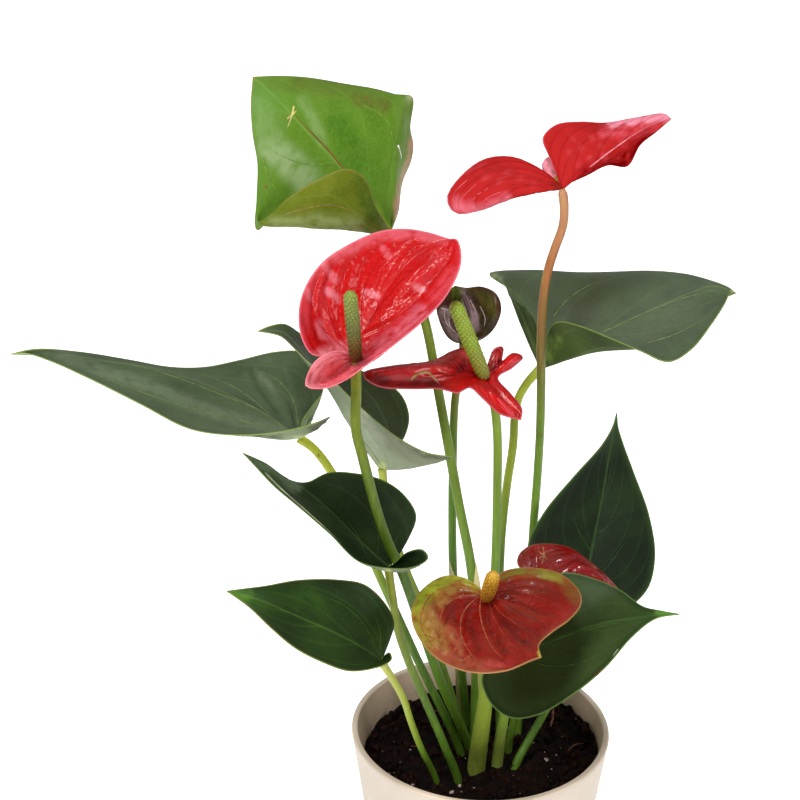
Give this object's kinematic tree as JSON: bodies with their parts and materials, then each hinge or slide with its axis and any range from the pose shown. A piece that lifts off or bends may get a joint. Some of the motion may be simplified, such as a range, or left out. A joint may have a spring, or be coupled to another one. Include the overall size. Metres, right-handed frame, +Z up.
{
  "type": "potted anthurium",
  "caption": "Flowering anthurium in a round pot: long-stalked heart-shaped leaves, red spathes with upright yellow-green spadices, and dark soil.",
  "frame": {"origin": "centre of the pot's underside, on the surface that it stands on", "axes": "+Z up along the pot's axis, -Y towards the viewer of the picture, +X to the viewer's right"},
  "size_m": [0.3166, 0.1754, 0.4203],
  "materials": {
    "ceramic": "matte",
    "soil": "matte",
    "leaf_green": "satin",
    "young_leaf_green": "satin",
    "stalk_green": "satin",
    "spathe_red": "gloss",
    "spathe_two_tone": "gloss",
    "spadix_yellow": "matte",
    "bud_bronze": "satin",
    "sheath_straw": "matte"
  },
  "bodies": {
    "root": {"pot": "ceramic", "soil": "soil", "leaf_1_blade": "young_leaf_green", "leaf_1_petiole": "stalk_green", "leaf_2_blade": "leaf_green", "leaf_2_petiole": "stalk_green", "leaf_3_blade": "leaf_green", "leaf_3_petiole": "stalk_green", "leaf_4_blade": "leaf_green", "leaf_4_petiole": "stalk_green", "leaf_5_blade": "leaf_green", "leaf_5_petiole": "stalk_green", "leaf_6_blade": "leaf_green", "leaf_6_petiole": "stalk_green", "leaf_7_blade": "leaf_green", "leaf_7_petiole": "stalk_green", "leaf_8_blade": "leaf_green", "leaf_8_petiole": "stalk_green", "flower_1_spathe": "spathe_red", "flower_1_spadix": "spadix_yellow", "flower_1_peduncle": "stalk_green", "flower_2_spathe": "spathe_red", "flower_2_spadix": "spadix_yellow", "flower_2_peduncle": "stalk_green", "flower_3_spathe": "spathe_red", "flower_3_spadix": "spadix_yellow", "flower_3_peduncle": "stalk_green", "flower_4_spathe": "spathe_two_tone", "flower_4_spadix": "spadix_yellow", "flower_4_peduncle": "stalk_green", "flower_5_spathe": "spathe_red", "flower_5_spadix": "spadix_yellow", "flower_5_peduncle": "stalk_green", "bud_spathe": "bud_bronze", "bud_stalk": "stalk_green", "sheath_1": "sheath_straw", "sheath_2": "sheath_straw"}
  },
  "joints": []
}
